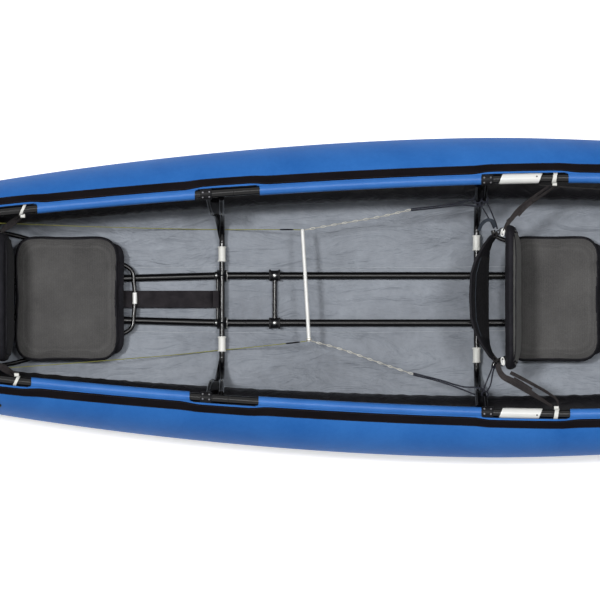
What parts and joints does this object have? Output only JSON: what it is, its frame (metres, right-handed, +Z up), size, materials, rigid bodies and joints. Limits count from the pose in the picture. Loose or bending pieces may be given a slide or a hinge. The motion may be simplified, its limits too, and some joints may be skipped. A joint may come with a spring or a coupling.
{
  "type": "folding kayak",
  "caption": "Open tandem folding kayak: fabric skin over a tube frame with folding ribs, padded seats, foot steering bar and lifting rudder.",
  "frame": {"origin": "middle of the keel strip's flat underside, amidships on the centre line", "axes": "+X to the bow, +Y to port, +Z up; both paddlers face +X"},
  "size_m": [4.9635, 0.86, 0.485],
  "materials": {
    "blue_skin": "coated woven fabric, satin",
    "gray_skin": "coated fabric, matte",
    "keel_rubber": "matte rubber",
    "sponson_fabric": "woven sleeve fabric, matte",
    "black_tube": "black anodised",
    "silver_tube": "satin anodised",
    "white_plastic": "satin moulded",
    "black_plastic": "satin moulded",
    "rudder_metal": "satin anodised plate",
    "line_cord": "braided cord",
    "chain_steel": "plated links",
    "bungee_cord": "woven cover",
    "seat_mesh": "mesh over foam, matte",
    "black_webbing": "woven webbing",
    "back_fabric": "padded woven fabric"
  },
  "bodies": {
    "hull": {"hull_bottom": "gray_skin", "port_topside": "blue_skin", "starboard_topside": "blue_skin", "aft_deck": "blue_skin", "fore_deck": "blue_skin", "keel_strip": "keel_rubber", "port_sponson": "sponson_fabric", "starboard_sponson": "sponson_fabric", "port_gunwale_aft": "black_tube", "port_gunwale_fore": "black_tube", "port_keelson": "black_tube", "port_rudder_line": "line_cord", "port_chain": "chain_steel", "port_steering_bungee": "bungee_cord", "starboard_gunwale_aft": "black_tube", "starboard_gunwale_fore": "black_tube", "starboard_keelson": "black_tube", "starboard_rudder_line": "line_cord", "starboard_chain": "chain_steel", "starboard_steering_bungee": "bungee_cord", "keel_crossbar": "black_tube", "aft_hoop": "black_tube", "fore_hoop": "black_tube", "rib_aft_floor": "black_tube", "rib_aft_port_arm": "black_tube", "rib_aft_starboard_arm": "black_tube", "rib_mid_floor": "black_tube", "rib_mid_port_arm": "black_tube", "rib_mid_starboard_arm": "black_tube", "rib_fore_floor": "black_tube", "rib_fore_port_arm": "black_tube", "rib_fore_starboard_arm": "black_tube", "bow_stem": "black_plastic", "stern_post": "black_plastic", "rear_seat_cushion": "seat_mesh", "rear_seat_frame": "black_tube", "rear_seat_strap": "black_webbing", "rear_port_back_strap": "black_webbing", "rear_starboard_back_strap": "black_webbing", "front_seat_cushion": "seat_mesh", "front_seat_frame": "black_tube", "front_seat_strap": "black_webbing", "front_port_back_strap": "black_webbing", "front_starboard_back_strap": "black_webbing"},
    "rudder_head": {"rudder_head": "black_plastic"},
    "rudder_blade": {"rudder_blade": "rudder_metal"},
    "foot_bar": {"foot_bar": "white_plastic"},
    "front_backrest": {"front_backrest_pad": "back_fabric", "front_backrest_shell": "back_fabric"},
    "rear_backrest": {"rear_backrest_pad": "back_fabric", "rear_backrest_shell": "back_fabric"},
    "rib_aft_port_sleeve": {"rib_aft_port_sleeve": "white_plastic"},
    "rib_aft_starboard_sleeve": {"rib_aft_starboard_sleeve": "white_plastic"},
    "rib_mid_port_sleeve": {"rib_mid_port_sleeve": "white_plastic"},
    "rib_mid_starboard_sleeve": {"rib_mid_starboard_sleeve": "white_plastic"},
    "rib_fore_port_sleeve": {"rib_fore_port_sleeve": "white_plastic"},
    "rib_fore_starboard_sleeve": {"rib_fore_starboard_sleeve": "white_plastic"},
    "port_gunwale_lock": {"port_gunwale_lock": "silver_tube"},
    "starboard_gunwale_lock": {"starboard_gunwale_lock": "silver_tube"}
  },
  "joints": [
    {"name": "rudder_steer", "type": "hinge", "parent": "hull", "child": "rudder_head", "pos_m": [-2.46125, 0, 0.34], "axis": [0, 0, 1], "range_deg": [-36, 36], "deforming": ["port_rudder_line", "starboard_rudder_line"]},
    {"name": "rudder_lift", "type": "hinge", "parent": "rudder_head", "child": "rudder_blade", "pos_m": [-2.49925, 0, 0.47], "axis": [0, -1, 0], "range_deg": [0, 255]},
    {"name": "foot_bar_swing", "type": "hinge", "parent": "hull", "child": "foot_bar", "pos_m": [-0.511, 0.034, 0.12], "axis": [0, 0, 1], "range_deg": [-17.7, 17.7], "deforming": ["port_chain", "starboard_chain", "port_steering_bungee", "starboard_steering_bungee"]},
    {"name": "front_backrest_tilt", "type": "hinge", "parent": "hull", "child": "front_backrest", "pos_m": [0.052, 0, 0.1], "axis": [0, 1, 0], "range_deg": [0, 30], "deforming": ["front_port_back_strap", "front_starboard_back_strap"]},
    {"name": "rear_backrest_tilt", "type": "hinge", "parent": "hull", "child": "rear_backrest", "pos_m": [-1.312, 0, 0.1], "axis": [0, 1, 0], "range_deg": [0, 30], "deforming": ["rear_port_back_strap", "rear_starboard_back_strap"]},
    {"name": "rib_aft_port_sleeve_slide", "type": "slide", "parent": "hull", "child": "rib_aft_port_sleeve", "axis": [0, -1, 0], "range_m": [0, 0.021]},
    {"name": "rib_aft_starboard_sleeve_slide", "type": "slide", "parent": "hull", "child": "rib_aft_starboard_sleeve", "axis": [0, 1, 0], "range_m": [0, 0.021]},
    {"name": "rib_mid_port_sleeve_slide", "type": "slide", "parent": "hull", "child": "rib_mid_port_sleeve", "axis": [0, -1, 0], "range_m": [0, 0.021]},
    {"name": "rib_mid_starboard_sleeve_slide", "type": "slide", "parent": "hull", "child": "rib_mid_starboard_sleeve", "axis": [0, 1, 0], "range_m": [0, 0.021]},
    {"name": "rib_fore_port_sleeve_slide", "type": "slide", "parent": "hull", "child": "rib_fore_port_sleeve", "axis": [0, -1, 0], "range_m": [0, 0.021]},
    {"name": "rib_fore_starboard_sleeve_slide", "type": "slide", "parent": "hull", "child": "rib_fore_starboard_sleeve", "axis": [0, 1, 0], "range_m": [0, 0.021]},
    {"name": "port_gunwale_lock_slide", "type": "slide", "parent": "hull", "child": "port_gunwale_lock", "axis": [1, 0.0002, 0.004], "range_m": [0, 0.022]},
    {"name": "starboard_gunwale_lock_slide", "type": "slide", "parent": "hull", "child": "starboard_gunwale_lock", "axis": [1, -0.0002, 0.004], "range_m": [0, 0.022]}
  ],
  "couplings": [
    {"joint": "foot_bar_swing", "follows": "rudder_steer", "ratio": 0.4902}
  ]
}
